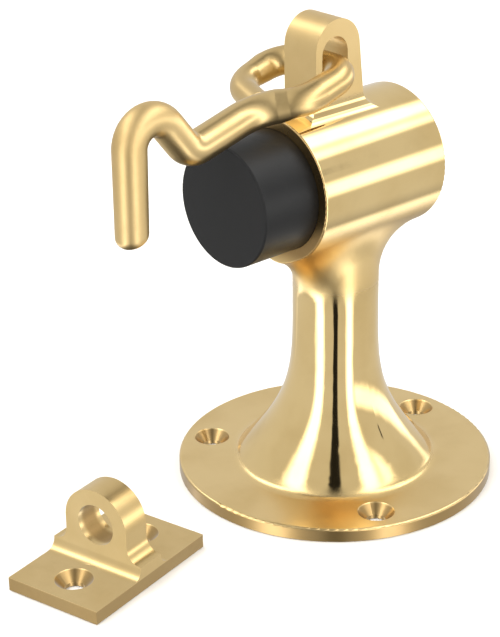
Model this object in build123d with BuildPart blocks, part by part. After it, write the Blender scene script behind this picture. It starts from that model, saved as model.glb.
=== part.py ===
from build123d import *
import os
from math import cos, radians, sin, tan

# Floor door holder with hook and keeper.
# Frame: +Z up, origin at the centre of the base's underside, barrel along Y, bumper facing -Y.
# All sizes are in millimetres.

# Stand casting
BASE_DIA = 76.2
BASE_THICK = 3.2
BASE_EDGE_ROUND = 0.6
AXIS_HEIGHT = 76.2
BARREL_DIA = 33.4
BARREL_LENGTH = 38.1
BARREL_EDGE_ROUND = 0.4
NECK_RADIUS = 10.2
NECK_FILLET = 13.5
NECK_BASE_Z = 44.0
FOOT_RADIUS = 23.5
FOOT_Z = 4.2
FOOT_SLOPE = 1.5
FOOT_BLEND = 2.5

# Screw holes, for number 8 flat-head screws
SCREW_PCD = 62.4
SCREW_COUNT = 3
SCREW_FIRST_ANGLE = -26.3
SCREW_HOLE_DIA = 4.6
SCREW_HEAD_DIA = 8.7
SCREW_HEAD_ANGLE = 82

# Lug on the barrel, with an upright slot for the hook's eye
LUG_THICK = 10.2
LUG_RADIUS = 6.7
LUG_Y = -4.6
LUG_TOP = 113.6
LUG_DRAFT_ANGLE = 6
LUG_FILLET = 3.5
SLOT_WIDTH = 7.8
SLOT_Y = -5.55
SLOT_BOTTOM = 98.6
SLOT_TOP = 109.8

# Rubber bumper and its moulded-in stud
BUMPER_DIA = 28.0
BUMPER_PROJECTION = 15.5
BUMPER_EDGE_ROUND = 0.5
SEAT_DEPTH = 10.0
SEAT_CLEARANCE = 0.1
STUD_DIA = 6.35
STUD_REACH = 12.0
STUD_HEAD_DIA = 18.0
STUD_HEAD_THICK = 2.5
STUD_HEAD_COVER = 3.0
STUD_CLEARANCE = 0.05

# Hook: a tapered round rod, with the radius of the rod at each stretch
HOOK_X = 1.5
TIP_ROD = 3.6
LEG_ROD = 3.75
SHANK_ROD = 3.75
NEAR_ROD = 3.45
REAR_ROD = 3.3
END_ROD = 3.0
TIP_ROUND = 2.2
EYE_NEAR_X = 9.4
EYE_FAR_X = -11.0
EYE_CORNER = 5.0
EYE_FAR_CORNER = 7.0
PIVOT_Z = 102.5

# Keeper, which screws to the door
KEEPER_X = 0.5
KEEPER_Y = -70.8
KEEPER_ANGLE = 13.0
KEEPER_WIDTH = 24.6
KEEPER_LENGTH = 37.8
KEEPER_THICK = 3.2
KEEPER_LUG_THICK = 7.0
KEEPER_LUG_RADIUS = 8.5
KEEPER_BORE_DIA = 9.7
KEEPER_BORE_HEIGHT = 12.7
KEEPER_SHOULDER_HEIGHT = 6.0
KEEPER_FLARE = 3.4
KEEPER_FOOT_FILLET = 2.5
KEEPER_HOLE_SPACING = 23.0
KEEPER_POCKET_DIA = 12.6

# Sizes worked out from those above
BASE_RADIUS = BASE_DIA / 2
BARREL_RADIUS = BARREL_DIA / 2
BARREL_FRONT = -BARREL_LENGTH / 2
BARREL_TOP = AXIS_HEIGHT + BARREL_RADIUS
SEAT_FLOOR = BARREL_FRONT + SEAT_DEPTH
BUMPER_RADIUS = BUMPER_DIA / 2
BUMPER_FACE = BARREL_FRONT - BUMPER_PROJECTION
STUD_RADIUS = STUD_DIA / 2
STUD_HEAD_RADIUS = STUD_HEAD_DIA / 2
STUD_HEAD_BACK = SEAT_FLOOR - STUD_HEAD_COVER
OVERRUN = 2.0
TOUCH = 0.01


def facing_front(y):
    """A plane across the barrel at this y, whose normal looks along -Y."""
    return Plane.XZ.offset(-y)


# ---- stand_casting: base, pedestal, barrel and lug in one piece ----

with BuildPart() as stand:
    # Base, foot and neck are one turned shape
    with BuildSketch(Plane.XZ):
        with BuildLine():
            Polyline(
                (0, AXIS_HEIGHT),
                (0, 0),
                (BASE_RADIUS, 0),
                (BASE_RADIUS, BASE_THICK - BASE_EDGE_ROUND),
            )
            RadiusArc(
                (BASE_RADIUS, BASE_THICK - BASE_EDGE_ROUND),
                (BASE_RADIUS - BASE_EDGE_ROUND, BASE_THICK),
                -BASE_EDGE_ROUND,
            )
            Line(
                (BASE_RADIUS - BASE_EDGE_ROUND, BASE_THICK),
                (FOOT_RADIUS + FOOT_BLEND, BASE_THICK),
            )
            Bezier(
                (FOOT_RADIUS + FOOT_BLEND, BASE_THICK),
                (FOOT_RADIUS + (FOOT_Z - BASE_THICK) / FOOT_SLOPE, BASE_THICK),
                (FOOT_RADIUS, FOOT_Z),
            )
            Bezier(
                (FOOT_RADIUS, FOOT_Z),
                (FOOT_RADIUS - 1.0, FOOT_Z + FOOT_SLOPE),
                (NECK_RADIUS + 0.5, 18.0),
                (NECK_RADIUS, 22.0),
                (NECK_RADIUS, NECK_BASE_Z),
            )
            Polyline(
                (NECK_RADIUS, NECK_BASE_Z),
                (NECK_RADIUS, AXIS_HEIGHT),
                (0, AXIS_HEIGHT),
            )
        make_face()
    revolve(axis=Axis.Z)

    # Barrel: made over-long for its flare into the neck, then faced to length
    with BuildSketch(Plane.XZ):
        with Locations((0, AXIS_HEIGHT)):
            Circle(BARREL_RADIUS)
    extrude(amount=BARREL_LENGTH, both=True)
    neck_joint = stand.edges().filter_by(
        lambda edge: edge.bounding_box().min.Z > AXIS_HEIGHT - BARREL_RADIUS - 1
        and edge.bounding_box().max.Z < AXIS_HEIGHT - BARREL_RADIUS / 2
    )
    fillet(neck_joint, NECK_FILLET)
    for face_y, outward in ((BARREL_FRONT, 1), (-BARREL_FRONT, -1)):
        with BuildSketch(facing_front(face_y)):
            with Locations((0, AXIS_HEIGHT)):
                Rectangle(BARREL_DIA + OVERRUN, BARREL_DIA + 2 * NECK_FILLET)
        extrude(amount=outward * BARREL_LENGTH, mode=Mode.SUBTRACT)

    rims = stand.edges().filter_by(
        lambda edge: abs(edge.center().Y) > BARREL_LENGTH / 2 - TOUCH
        and edge.bounding_box().size.Y < TOUCH
    )
    fillet(rims, BARREL_EDGE_ROUND)

    # Lug, an upright arch with its rear edge drafted
    draft = radians(LUG_DRAFT_ANGLE)
    lug_centre_z = LUG_TOP - LUG_RADIUS
    draft_start = (LUG_Y + LUG_RADIUS * cos(draft), lug_centre_z + LUG_RADIUS * sin(draft))
    lug_foot_z = AXIS_HEIGHT
    draft_run = (draft_start[1] - lug_foot_z) * tan(draft)
    with BuildSketch(Plane.YZ):
        with BuildLine():
            Polyline(
                (LUG_Y - LUG_RADIUS, lug_centre_z),
                (LUG_Y - LUG_RADIUS, lug_foot_z),
                (draft_start[0] + draft_run, lug_foot_z),
                draft_start,
            )
            ThreePointArc(
                draft_start,
                (LUG_Y, LUG_TOP),
                (LUG_Y - LUG_RADIUS, lug_centre_z),
            )
        make_face()
    extrude(amount=LUG_THICK / 2, both=True)
    lug_joint = stand.edges().filter_by(
        lambda edge: edge.bounding_box().min.Z > AXIS_HEIGHT + BARREL_RADIUS / 2
        and edge.bounding_box().max.Z < BARREL_TOP + 1
        and edge.bounding_box().max.X < LUG_THICK
        and edge.bounding_box().min.X > -LUG_THICK
    )
    fillet(lug_joint, LUG_FILLET)

    # Slot through the lug
    with BuildSketch(Plane.YZ):
        with Locations((SLOT_Y, (SLOT_BOTTOM + SLOT_TOP) / 2)):
            SlotOverall(SLOT_TOP - SLOT_BOTTOM, SLOT_WIDTH, rotation=90)
    extrude(amount=LUG_THICK, both=True, mode=Mode.SUBTRACT)

    # Seat for the bumper, and the tapped hole for its stud
    with BuildSketch(facing_front(BARREL_FRONT)):
        with Locations((0, AXIS_HEIGHT)):
            Circle(BUMPER_RADIUS + SEAT_CLEARANCE)
    extrude(amount=-SEAT_DEPTH, mode=Mode.SUBTRACT)
    with BuildSketch(facing_front(SEAT_FLOOR)):
        with Locations((0, AXIS_HEIGHT)):
            Circle(STUD_RADIUS + STUD_CLEARANCE)
    extrude(amount=-STUD_REACH - OVERRUN, mode=Mode.SUBTRACT)

    # Countersunk screw holes in the base
    with Locations(Plane.XY.offset(BASE_THICK)):
        with PolarLocations(SCREW_PCD / 2, SCREW_COUNT, start_angle=SCREW_FIRST_ANGLE):
            CounterSinkHole(
                radius=SCREW_HOLE_DIA / 2,
                counter_sink_radius=SCREW_HEAD_DIA / 2,
                depth=BASE_THICK + OVERRUN,
                counter_sink_angle=SCREW_HEAD_ANGLE,
            )


# ---- rubber_bumper: moulded round the head of its stud ----

with BuildPart() as bumper:
    with BuildSketch(facing_front(SEAT_FLOOR)):
        with Locations((0, AXIS_HEIGHT)):
            Circle(BUMPER_RADIUS)
    extrude(amount=SEAT_DEPTH + BUMPER_PROJECTION)
    fillet(bumper.edges().sort_by(Axis.Y)[0], BUMPER_EDGE_ROUND)
    with BuildSketch(facing_front(SEAT_FLOOR)):
        with Locations((0, AXIS_HEIGHT)):
            Circle(STUD_RADIUS + STUD_CLEARANCE)
    extrude(amount=STUD_HEAD_COVER, mode=Mode.SUBTRACT)
    with BuildSketch(facing_front(STUD_HEAD_BACK + STUD_CLEARANCE)):
        with Locations((0, AXIS_HEIGHT)):
            Circle(STUD_HEAD_RADIUS + STUD_CLEARANCE)
    extrude(amount=STUD_HEAD_THICK + 2 * STUD_CLEARANCE, mode=Mode.SUBTRACT)


# ---- bumper_stud: steel disc in the rubber, with a shank that screws into the barrel ----

with BuildPart() as stud:
    with BuildSketch(facing_front(STUD_HEAD_BACK)):
        with Locations((0, AXIS_HEIGHT)):
            Circle(STUD_HEAD_RADIUS)
    extrude(amount=STUD_HEAD_THICK)
    with BuildSketch(facing_front(STUD_HEAD_BACK)):
        with Locations((0, AXIS_HEIGHT)):
            Circle(STUD_RADIUS)
    extrude(amount=-STUD_HEAD_COVER - STUD_REACH)
    chamfer(stud.edges().sort_by(Axis.Y)[-1], STUD_RADIUS / 4)


# ---- hook: tip, hump, valley and shank, then the eye through the lug's slot ----

# Corners of the rod's centreline, from the tip, with each bend's radius and the rod's there
HOOK_BENDS = [
    ((HOOK_X, -60.55, 111.5), 5.55, LEG_ROD),
    ((HOOK_X, -44.9, 91.65), 4.6, SHANK_ROD),
    ((HOOK_X, -26.3, 96.7), 13.0, SHANK_ROD),
    ((EYE_NEAR_X, -18.3, 98.9), 9.0, NEAR_ROD),
    ((EYE_NEAR_X, SLOT_Y, PIVOT_Z), EYE_CORNER, REAR_ROD),
    ((EYE_FAR_X, SLOT_Y, PIVOT_Z), EYE_FAR_CORNER, REAR_ROD),
    ((EYE_FAR_X, -20.2, 98.4), EYE_FAR_CORNER, END_ROD),
]
HOOK_TIP = (HOOK_X, -61.0, 72.0)
EYE_END = (0.8, -24.2, 97.3)
TIP_CUT = (HOOK_X, -61.0, 75.0)
TIP_CUT_ANGLE = 20

hook_corners = [HOOK_TIP] + [bend[0] for bend in HOOK_BENDS] + [EYE_END]
rod_radii = [TIP_ROD] + [bend[2] for bend in HOOK_BENDS] + [END_ROD]

with BuildPart() as hook:
    # Even bends joined by tapered runs; the eye's end runs into the shank
    with BuildLine():
        rod = FilletPolyline(*hook_corners, radius=[bend[1] for bend in HOOK_BENDS])
    for run, start_radius, end_radius in zip(rod.edges()[0::2], rod_radii, rod_radii[1:]):
        with BuildSketch(Plane(origin=run @ 0, z_dir=run % 0)):
            Circle(start_radius)
        with BuildSketch(Plane(origin=run @ 1, z_dir=run % 1)):
            Circle(end_radius)
        loft()
    for arc, bend in zip(rod.edges()[1::2], HOOK_BENDS):
        with BuildSketch(Plane(origin=arc @ 0, z_dir=arc % 0)):
            Circle(bend[2])
        sweep(path=arc)

    # Slanted, rounded tip
    tip_slant = radians(TIP_CUT_ANGLE)
    with BuildSketch(Plane(origin=TIP_CUT, x_dir=(1, 0, 0), z_dir=(0, sin(tip_slant), -cos(tip_slant)))):
        Rectangle(4 * TIP_ROD, 4 * TIP_ROD)
    extrude(amount=4 * TIP_ROD, mode=Mode.SUBTRACT)
    fillet(hook.edges().sort_by(Axis.Z)[0], TIP_ROUND)


# ---- keeper: plate, arched lug with a bore, two countersunk holes ----

keeper_base = Plane(
    origin=(KEEPER_X, KEEPER_Y, 0),
    x_dir=(cos(radians(KEEPER_ANGLE)), sin(radians(KEEPER_ANGLE)), 0),
    z_dir=(0, 0, 1),
)
keeper_upright = Plane(
    origin=(KEEPER_X, KEEPER_Y, 0),
    x_dir=keeper_base.x_dir,
    z_dir=-keeper_base.y_dir,
)

with BuildPart() as keeper:
    with BuildSketch(keeper_base):
        Rectangle(KEEPER_WIDTH, KEEPER_LENGTH)
    extrude(amount=KEEPER_THICK)

    # Lug, flaring at its foot to shoulders as wide as the plate
    with BuildSketch(keeper_upright) as lug_outline:
        with Locations((0, KEEPER_BORE_HEIGHT)):
            Circle(KEEPER_LUG_RADIUS)
        with Locations((0, KEEPER_BORE_HEIGHT / 2)):
            Rectangle(2 * KEEPER_LUG_RADIUS, KEEPER_BORE_HEIGHT)
        with Locations((0, KEEPER_SHOULDER_HEIGHT / 2)):
            Rectangle(KEEPER_WIDTH, KEEPER_SHOULDER_HEIGHT)
        inner_corners = lug_outline.vertices().filter_by(
            lambda corner: abs(corner.X) < KEEPER_LUG_RADIUS + TOUCH
            and abs(corner.Y - KEEPER_SHOULDER_HEIGHT) < TOUCH
        )
        fillet(inner_corners, KEEPER_FLARE)
    extrude(amount=KEEPER_LUG_THICK / 2, both=True)
    foot_edges = keeper.edges().filter_by(
        lambda edge: abs(edge.bounding_box().min.Z - KEEPER_THICK) < TOUCH
        and abs(edge.bounding_box().max.Z - KEEPER_THICK) < TOUCH
        and abs(edge.length - KEEPER_WIDTH) < TOUCH
        and abs((edge.center() - keeper_base.origin).dot(keeper_base.y_dir)) < KEEPER_LUG_THICK
    )
    fillet(foot_edges, KEEPER_FOOT_FILLET)

    with BuildSketch(keeper_upright.offset(KEEPER_LUG_THICK)):
        with Locations((0, KEEPER_BORE_HEIGHT)):
            Circle(KEEPER_BORE_DIA / 2)
    extrude(amount=-2 * KEEPER_LUG_THICK, mode=Mode.SUBTRACT)

    # Flat pockets round the screws, then the holes
    with BuildSketch(keeper_base.offset(KEEPER_THICK)):
        with GridLocations(0, KEEPER_HOLE_SPACING, 1, 2):
            Circle(KEEPER_POCKET_DIA / 2)
    extrude(amount=KEEPER_FOOT_FILLET, mode=Mode.SUBTRACT)
    with Locations(keeper_base.offset(KEEPER_THICK)):
        with GridLocations(0, KEEPER_HOLE_SPACING, 1, 2):
            CounterSinkHole(
                radius=SCREW_HOLE_DIA / 2,
                counter_sink_radius=SCREW_HEAD_DIA / 2,
                depth=KEEPER_THICK + OVERRUN,
                counter_sink_angle=SCREW_HEAD_ANGLE,
            )


# ---- write every piece ----

os.makedirs("parts", exist_ok=True)

stand.part.label = "stand_casting"
export_step(stand.part, "parts/stand_casting.step")

bumper.part.label = "rubber_bumper"
export_step(bumper.part, "parts/rubber_bumper.step")

stud.part.label = "bumper_stud"
export_step(stud.part, "parts/bumper_stud.step")

hook.part.label = "hook"
export_step(hook.part, "parts/hook.step")

keeper.part.label = "keeper"
export_step(keeper.part, "parts/keeper.step")
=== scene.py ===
import math

import bpy
from mathutils import Matrix, Vector

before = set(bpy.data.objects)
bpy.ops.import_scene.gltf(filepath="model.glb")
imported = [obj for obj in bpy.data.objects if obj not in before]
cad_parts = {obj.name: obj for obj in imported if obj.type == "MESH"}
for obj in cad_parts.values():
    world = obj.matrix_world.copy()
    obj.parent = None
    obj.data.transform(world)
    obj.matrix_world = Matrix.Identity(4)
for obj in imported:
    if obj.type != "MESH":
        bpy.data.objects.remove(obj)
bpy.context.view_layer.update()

# Looks for a floor door holder: polished brass stand, brass hook and keeper, black rubber bumper.
# Everything is in metres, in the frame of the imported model: +Z up, bumper facing -Y.

MM = 0.001

# ---- places on the object, in metres ----

PLATE_TOP = 3.2 * MM
FOOT_TOP = 4.6 * MM
BARREL_FRONT = -19.05 * MM
BARREL_AXIS_Z = 76.2 * MM
BARREL_RADIUS = 16.7 * MM
BARREL_TOP = BARREL_AXIS_Z + BARREL_RADIUS
BUMPER_FACE = -34.55 * MM
LUG_FOOT = (0.0, -4.6 * MM, BARREL_TOP)
NECK_TOP = 58 * MM
FLANGE_RADIUS = 38.1 * MM
SCREW_CIRCLE_RADIUS = 31.2 * MM
SCREW_ANGLES = (-26.3, 93.7, 213.7)
SCREW_HEAD_RADIUS = 4.35 * MM
HOOK_PIVOT = (0.0, -5.55 * MM, 102.5 * MM)
HOOK_HUMP_Y = -50 * MM
KEEPER_BORE = (0.5 * MM, -70.8 * MM, 12.7 * MM)
KEEPER_BORE_RADIUS = 4.85 * MM
KEEPER_TURN = 13.0
KEEPER_SCREW_REACH = 11.5 * MM

# ---- camera ----

CAMERA_AZIMUTH = 45.59
CAMERA_ELEVATION = 28.871
CAMERA_DISTANCE = 0.46169
CAMERA_YAW = 46.444
CAMERA_PITCH = 24.51
CAMERA_LENS = 105.45
CAMERA_SHIFT = -0.0942
SENSOR = 36.0


def heading(azimuth, elevation):
    """The direction at an azimuth from -Y towards +X and an elevation, both in degrees."""
    turn = math.radians(azimuth)
    rise = math.radians(elevation)
    return Vector(
        (
            math.sin(turn) * math.cos(rise),
            -math.cos(turn) * math.cos(rise),
            math.sin(rise),
        )
    )


# ---- shader writing ----


class Wire:
    """An output of a node, for use in ordinary arithmetic."""

    def __init__(self, board, socket):
        self.board = board
        self.socket = socket

    def maths(self, operation, first, second):
        return self.board.add(
            "ShaderNodeMath", {"operation": operation}, {0: first, 1: second}
        )

    def __add__(self, other):
        return self.maths("ADD", self, other)

    def __radd__(self, other):
        return self.maths("ADD", other, self)

    def __sub__(self, other):
        return self.maths("SUBTRACT", self, other)

    def __rsub__(self, other):
        return self.maths("SUBTRACT", other, self)

    def __mul__(self, other):
        return self.maths("MULTIPLY", self, other)

    def __rmul__(self, other):
        return self.maths("MULTIPLY", other, self)

    def __truediv__(self, other):
        return self.maths("DIVIDE", self, other)

    def __rtruediv__(self, other):
        return self.maths("DIVIDE", other, self)

    def __pow__(self, other):
        return self.maths("POWER", self, other)


class Board:
    """A node tree, with one method that adds any node."""

    def __init__(self, tree):
        self.tree = tree
        tree.nodes.clear()

    def add(self, kind, settings=None, sockets=None, output=0):
        node = self.tree.nodes.new(kind)
        for name, value in (settings or {}).items():
            setattr(node, name, value)
        for key, value in (sockets or {}).items():
            if isinstance(value, Wire):
                self.tree.links.new(value.socket, node.inputs[key])
            else:
                node.inputs[key].default_value = value
        return Wire(self, node.outputs[output]) if node.outputs else None

    def ease(self, value, low, high):
        """0 below low, 1 above high, and smooth between; low may be the larger."""
        return self.add(
            "ShaderNodeMapRange",
            {"interpolation_type": "SMOOTHSTEP"},
            {"Value": value, "From Min": low, "From Max": high},
        )

    def band(self, value, place):
        """1 within a half width of the middle, easing to 0 over the soft edge on each side."""
        middle, half, soft = place
        rising = self.ease(value, middle - half - soft, middle - half)
        return rising * self.ease(value, middle + half + soft, middle + half)

    def blend(self, amount, first, second):
        """A colour between two others."""
        return self.add(
            "ShaderNodeMix", {"data_type": "RGBA"}, {0: amount, 6: first, 7: second}, output=2
        )

    def noise(self, place, scale, detail=2.0, roughness=0.5):
        return self.add(
            "ShaderNodeTexNoise",
            {},
            {"Vector": place, "Scale": scale, "Detail": detail, "Roughness": roughness},
        )

    def vector(self, x, y, z):
        return self.add("ShaderNodeCombineXYZ", {}, {0: x, 1: y, 2: z})

    def along(self, direction, axis):
        return self.add(
            "ShaderNodeVectorMath", {"operation": "DOT_PRODUCT"}, {0: direction, 1: axis}, output=1
        )

    def distance(self, place, point):
        return self.add(
            "ShaderNodeVectorMath", {"operation": "DISTANCE"}, {0: place, 1: point}, output=1
        )

    def near_posts(self, x, y, centres):
        """1 inside the screw holes that stand at these centres, and 0 outside."""
        level = self.vector(x, y, 0.0)
        inside = 0.0
        for centre in centres:
            away = self.distance(level, centre)
            inside = self.ease(away, SCREW_HEAD_RADIUS, SCREW_HEAD_RADIUS - 0.3 * MM) + inside
        return inside

    def place(self):
        """The point on the piece, and its three coordinates."""
        point = self.add("ShaderNodeTexCoord", output="Object")
        return point, [
            self.add("ShaderNodeSeparateXYZ", {}, {0: point}, output=axis) for axis in range(3)
        ]


def material(name):
    made = bpy.data.materials.new(name)
    made.use_nodes = True
    return made, Board(made.node_tree)


def finish_surface(board, colour, roughness, bump_height, bump_depth, **constants):
    """The surface shader and its bump. The constants are set on the shader's own sockets."""
    normal = board.add(
        "ShaderNodeBump",
        {},
        {"Strength": 1.0, "Distance": bump_depth, "Height": bump_height},
    )
    sockets = {"Base Color": colour, "Roughness": roughness, "Normal": normal}
    for label, value in constants.items():
        sockets[label.replace("_", " ").title().replace("Ior", "IOR")] = value
    surface = board.add("ShaderNodeBsdfPrincipled", {}, sockets)
    board.add("ShaderNodeOutputMaterial", {}, {"Surface": surface})


# ---- brass ----

BRASS_LIGHT = (0.83, 0.63, 0.31, 1.0)
BRASS_DEEP = (0.73, 0.53, 0.23, 1.0)
# The dark brass that dull spots and painted shade are mixed towards
BRASS_DULL_AND_SHADE = (0.28, 0.165, 0.055, 1.0)


def brass_colour(board, point, dull_and_shade):
    """Brass with a faint uneven tone, darkened by the given amount, which carries dull spots and
    painted shade.
    """
    tone = board.ease(board.noise(point, 55.0, detail=3.0), 0.35, 0.7)
    clean = board.blend(tone * 0.7, BRASS_LIGHT, BRASS_DEEP)
    return board.blend(dull_and_shade, clean, BRASS_DULL_AND_SHADE)


def stand_screws():
    """The centres of the three screw holes in the flange."""
    turns = [math.radians(angle) for angle in SCREW_ANGLES]
    return [
        (SCREW_CIRCLE_RADIUS * math.cos(turn), SCREW_CIRCLE_RADIUS * math.sin(turn), 0.0)
        for turn in turns
    ]


def keeper_screws():
    """The centres of the two screw holes in the keeper."""
    turn = math.radians(KEEPER_TURN)
    reach = Vector((-math.sin(turn), math.cos(turn), 0.0)) * KEEPER_SCREW_REACH
    middle = Vector((KEEPER_BORE[0], KEEPER_BORE[1], 0.0))
    return [tuple(middle + reach), tuple(middle - reach)]


def stand_brass():
    made, board = material("polished brass, turned and lacquered")
    point, (x, y, z) = board.place()
    radius = (x * x + y * y) ** 0.5
    on_barrel = board.ease(z, NECK_TOP, NECK_TOP + 5 * MM)
    on_flange = board.ease(z, FOOT_TOP + 1.5 * MM, FOOT_TOP - 1.5 * MM)
    on_lug = board.ease(z, BARREL_TOP + 0.5 * MM, BARREL_TOP + 3.5 * MM)
    on_ring = board.ease(y, BARREL_FRONT + 0.35 * MM, BARREL_FRONT + 0.05 * MM) * on_barrel
    satin = board.add("ShaderNodeMath", {"operation": "MAXIMUM"}, {0: on_flange, 1: on_lug})
    under_barrel = board.ease(z, 73 * MM, 66 * MM) * board.ease(z, 45 * MM, 52 * MM)
    sunk = board.ease(z, PLATE_TOP - 0.02 * MM, PLATE_TOP - 0.2 * MM)
    in_holes = board.near_posts(x, y, stand_screws()) * sunk
    on_rim = board.ease(radius, FLANGE_RADIUS - 0.3 * MM, FLANGE_RADIUS - 0.1 * MM)
    on_rim = on_rim * board.ease(z, PLATE_TOP, PLATE_TOP - 0.7 * MM)

    # Fine turned lines: round the barrel, and round the pedestal and flange
    across_barrel = board.vector(y * 9.0, x * 0.15, z * 0.15)
    across_post = board.vector(radius * 6.0, z * 9.0, x * 0.2)
    barrel_lines = board.noise(across_barrel, 900.0, detail=3.0)
    post_lines = board.noise(across_post, 900.0, detail=3.0)
    lines = post_lines + (barrel_lines - post_lines) * on_barrel
    grain = board.noise(point, 2600.0, detail=2.0)
    smudge = board.ease(board.noise(point, 120.0, detail=4.0, roughness=0.6), 0.45, 0.75)

    # Painted shade where the lug and the foot join, and a darker, rougher ring round the bumper
    lug_joint = board.ease(z, BARREL_TOP + 3.2 * MM, BARREL_TOP + 0.4 * MM)
    near_lug = board.ease(board.distance(point, LUG_FOOT), 10.5 * MM, 7 * MM)
    dull_and_shade = on_ring * 0.72 + lug_joint * near_lug * 0.18 + smudge * 0.05
    # Painted shade under the barrel, in the screw holes and on the flange's outer edge
    dull_and_shade = dull_and_shade + under_barrel * 0.1 + in_holes * 0.7 + on_rim * 0.7 + on_lug * 0.14
    roughness = 0.055 + satin * 0.24 + on_ring * 0.2 + smudge * 0.035 + (lines - 0.5) * 0.05
    roughness = roughness + on_lug * 0.14 + under_barrel * 0.32
    height = lines * (0.25 + satin * 0.75) + grain * satin * 0.6
    finish_surface(
        board,
        brass_colour(board, point, dull_and_shade),
        roughness,
        height,
        0.0035 * MM,
        metallic=1.0,
        coat_weight=0.12,
        coat_roughness=0.08,
    )
    return made


def hook_brass():
    made, board = material("brass, hand polished hook")
    point, (x, y, z) = board.place()
    on_leg = board.ease(y, HOOK_HUMP_Y + 3 * MM, HOOK_HUMP_Y - 5 * MM)
    worn = board.ease(board.distance(point, HOOK_PIVOT), 9 * MM, 5 * MM)
    tip_worn = board.ease(z, 80 * MM, 74.5 * MM)
    strokes = board.noise(board.vector(x * 5.0, y * 1.2, z * 1.2), 900.0, detail=3.0)
    grain = board.noise(point, 2200.0, detail=2.0)
    smudge = board.ease(board.noise(point, 150.0, detail=4.0, roughness=0.6), 0.45, 0.75)
    roughness = 0.3 + on_leg * 0.14 + smudge * 0.05 - worn * 0.05 - tip_worn * 0.08 + strokes * 0.04
    height = strokes * 0.6 + grain * 0.5 * (1 - worn)
    finish_surface(
        board,
        brass_colour(board, point, 0.2 + smudge * 0.06 + strokes * 0.06),
        roughness,
        height,
        0.003 * MM,
        metallic=1.0,
        coat_weight=0.1,
        coat_roughness=0.12,
    )
    return made


def keeper_brass():
    made, board = material("brass, satin keeper")
    point, (x, y, z) = board.place()
    bore = board.distance(point, KEEPER_BORE)
    bore_rim = board.ease(bore, KEEPER_BORE_RADIUS + 2.4 * MM, KEEPER_BORE_RADIUS + 0.6 * MM)
    in_bore = board.ease(bore, KEEPER_BORE_RADIUS + 0.8 * MM, KEEPER_BORE_RADIUS + 0.2 * MM)
    low = board.ease(z, PLATE_TOP + 3.0 * MM, PLATE_TOP + 0.2 * MM)
    strokes = board.noise(board.vector(x * 1.2, y * 6.0, z * 1.2), 900.0, detail=3.0)
    grain = board.noise(point, 2400.0, detail=2.0)
    smudge = board.ease(board.noise(point, 170.0, detail=4.0, roughness=0.6), 0.45, 0.75)
    roughness = 0.3 + in_bore * 0.25 + smudge * 0.06 + (strokes - 0.5) * 0.08
    height = strokes * 0.7 + grain * 0.7 * (1 - bore_rim)
    sunk = board.ease(z, PLATE_TOP - 0.02 * MM, PLATE_TOP - 0.2 * MM)
    in_holes = board.near_posts(x, y, keeper_screws()) * sunk
    on_sides = board.ease(z, PLATE_TOP - 0.05 * MM, PLATE_TOP - 0.25 * MM) * (1 - in_holes)
    # Painted shade in the bore, in the screw holes and on the plate's sides; a little darker near the
    # plate
    dull_and_shade = 0.08 + in_bore * 0.62 + low * 0.06 + smudge * 0.06 + in_holes * 0.6 + on_sides * 0.5
    finish_surface(
        board,
        brass_colour(board, point, dull_and_shade),
        roughness,
        height,
        0.004 * MM,
        metallic=1.0,
        coat_weight=0.08,
        coat_roughness=0.2,
    )
    return made


# ---- rubber and steel ----

RUBBER_BLACK = (0.0045, 0.0048, 0.0056, 1.0)
RUBBER_WORN = (0.024, 0.025, 0.027, 1.0)
STEEL_BRIGHT = (0.58, 0.57, 0.55, 1.0)
STEEL_DARK = (0.34, 0.33, 0.32, 1.0)


def bumper_rubber():
    made, board = material("black moulded rubber")
    point, (_, y, _) = board.place()
    on_face = board.ease(y, BUMPER_FACE + 0.6 * MM, BUMPER_FACE + 0.1 * MM)
    scuff = board.ease(board.noise(point, 260.0, detail=5.0, roughness=0.65), 0.5, 0.8)
    bloom = board.noise(point, 60.0, detail=3.0)
    skin = board.noise(point, 3200.0, detail=3.0, roughness=0.6)
    colour = board.blend(scuff * (0.12 + on_face * 0.25) + bloom * 0.1, RUBBER_BLACK, RUBBER_WORN)
    roughness = 0.4 + on_face * 0.12 + scuff * 0.12 + bloom * 0.06
    finish_surface(board, colour, roughness, skin, 0.012 * MM, specular_ior_level=0.3)
    return made


def stud_steel():
    made, board = material("turned steel stud")
    point, (x, y, z) = board.place()
    lines = board.noise(board.vector(x * 0.4, y * 7.0, z * 0.4), 800.0, detail=3.0)
    tone = board.noise(point, 200.0, detail=3.0)
    colour = board.blend(tone, STEEL_BRIGHT, STEEL_DARK)
    finish_surface(board, colour, 0.28 + lines * 0.12, lines, 0.006 * MM, metallic=1.0)
    return made


def dress(node, made):
    """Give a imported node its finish, in every material slot it has."""
    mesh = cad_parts[node].data
    if not mesh.materials:
        mesh.materials.append(made)
    for place in range(len(mesh.materials)):
        mesh.materials[place] = made


dress("stand_casting", stand_brass())
dress("hook", hook_brass())
dress("keeper", keeper_brass())
dress("rubber_bumper", bumper_rubber())
dress("bumper_stud", stud_steel())

# The polished post would mirror the two moving pieces as brown blots, so they aren't mirrored
for loose in ("keeper", "hook"):
    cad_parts[loose].visible_glossy = False


# ---- studio: floor, light and surroundings ----

FLOOR_SIZE = 8.0
FLOOR_DROP = 0.2 * MM


def pale_floor():
    made, board = material("pale studio floor")
    point, _ = board.place()
    tone = board.noise(point, 3.0, detail=2.0)
    colour = board.blend(tone, (0.93, 0.93, 0.92, 1.0), (0.9, 0.9, 0.89, 1.0))
    finish_surface(board, colour, 0.85 + tone * 0.1, tone, 0.01 * MM, specular_ior_level=0.1)
    return made


floor_mesh = bpy.data.meshes.new("studio_floor")
half = FLOOR_SIZE / 2
floor_mesh.from_pydata(
    [(-half, -half, 0), (half, -half, 0), (half, half, 0), (-half, half, 0)], [], [(0, 1, 2, 3)]
)
floor = bpy.data.objects.new("studio_floor", floor_mesh)
floor.location.z = -FLOOR_DROP
floor_mesh.materials.append(pale_floor())
floor.visible_glossy = False
bpy.context.scene.collection.objects.link(floor)

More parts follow.
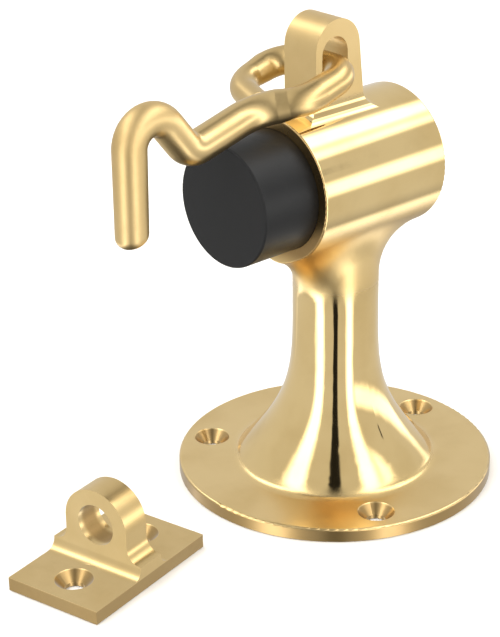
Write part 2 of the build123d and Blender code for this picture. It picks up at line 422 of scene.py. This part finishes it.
lamp_data = bpy.data.lights.new("overhead_softbox", "AREA")
lamp_data.shape = "RECTANGLE"
lamp_data.size = 1.1
lamp_data.size_y = 0.9
lamp_data.energy = 6.0
lamp_data.color = (1.0, 0.985, 0.96)
lamp = bpy.data.objects.new("overhead_softbox", lamp_data)
lamp.location = (-0.25, -0.2, 1.1)
lamp.rotation_euler = (Vector((0, 0, 0.04)) - lamp.location).to_track_quat("-Z", "Y").to_euler()
lamp.visible_glossy = False
bpy.context.scene.collection.objects.link(lamp)

# The room that the metal mirrors: pale walls, two tall softboxes with a black flag between them,
# and on the right two level strip lights with a short black rail below the upper one.
# Places are cosines from the room's own directions, -1 to 1, and brightness 1 is white.
ROOM_TURN = math.radians(46.5)
ROOM_RIGHT = Vector((math.cos(ROOM_TURN), math.sin(ROOM_TURN), 0.0))
ROOM_FRONT = Vector((math.sin(ROOM_TURN), -math.cos(ROOM_TURN), 0.0))
WALLS = 0.75
BLACK = 0.02
SOFTBOX_LIGHT = 3.0
STRIP_LIGHT = 2.0
LEFT_SOFTBOX = (-0.6, 0.06, 0.12)
RIGHT_SOFTBOX = (0.55, 0.05, 0.12)
FLAG = (0.0, 0.08, 0.04)
LOW_STRIP = (0.0, 0.05, 0.15)
HIGH_STRIP = (0.65, 0.03, 0.08)
RAIL_HEIGHT = (0.36, 0.04, 0.03)
RAIL_LENGTH = (0.61, 0.03, 0.015)


def studio_room():
    room = bpy.data.worlds.new("studio room")
    bpy.context.scene.world = room
    room.use_nodes = True
    board = Board(room.node_tree)
    way = board.add("ShaderNodeTexCoord", output="Generated")
    side = board.along(way, ROOM_RIGHT)
    front = board.along(way, ROOM_FRONT)
    height = board.along(way, (0.0, 0.0, 1.0))
    softboxes = board.band(side, LEFT_SOFTBOX) + board.band(side, RIGHT_SOFTBOX)
    strips = board.band(height, LOW_STRIP) + board.band(height, HIGH_STRIP)
    in_front = board.ease(front, -0.6, -0.42)
    to_right = board.ease(side, 0.64, 0.76)
    ahead = (WALLS + softboxes * SOFTBOX_LIGHT * in_front) * (1 - board.band(side, FLAG) * in_front)
    sideways = WALLS + strips * STRIP_LIGHT
    rail = board.band(height, RAIL_HEIGHT) * board.band(board.along(way, (0.0, 1.0, 0.0)), RAIL_LENGTH)
    open_room = ahead + (sideways * (1 - rail) - ahead) * to_right
    level = BLACK + open_room * (0.25 + board.ease(height, -0.9, -0.5) * 0.75)
    tinted = board.add(
        "ShaderNodeMix",
        {"data_type": "RGBA", "blend_type": "MULTIPLY"},
        {0: 1.0, 6: level, 7: (1.0, 0.985, 0.955, 1.0)},
        output=2,
    )
    seen = board.add("ShaderNodeLightPath", output="Is Camera Ray")
    glow = board.blend(seen, tinted, (0.93, 0.93, 0.92, 1.0))
    light = board.add("ShaderNodeBackground", {}, {"Color": glow, "Strength": 1.0})
    board.add("ShaderNodeOutputWorld", {}, {"Surface": light})

studio_room()
bpy.context.scene.view_settings.view_transform = "Standard"

# ---- camera ----

camera_data = bpy.data.cameras.new("camera")
camera = bpy.data.objects.new("camera", camera_data)
camera_data.sensor_fit = "AUTO"
camera_data.sensor_width = SENSOR
camera_data.lens = CAMERA_LENS
camera_data.shift_x = CAMERA_SHIFT
camera_data.clip_start = 0.01
back = heading(CAMERA_YAW, CAMERA_PITCH)
right = Vector((math.cos(math.radians(CAMERA_YAW)), math.sin(math.radians(CAMERA_YAW)), 0.0))
turn = Matrix((right, back.cross(right), back)).transposed().to_4x4()
camera.matrix_world = (
    Matrix.Translation(heading(CAMERA_AZIMUTH, CAMERA_ELEVATION) * CAMERA_DISTANCE) @ turn
)
bpy.context.scene.collection.objects.link(camera)
bpy.context.scene.camera = camera
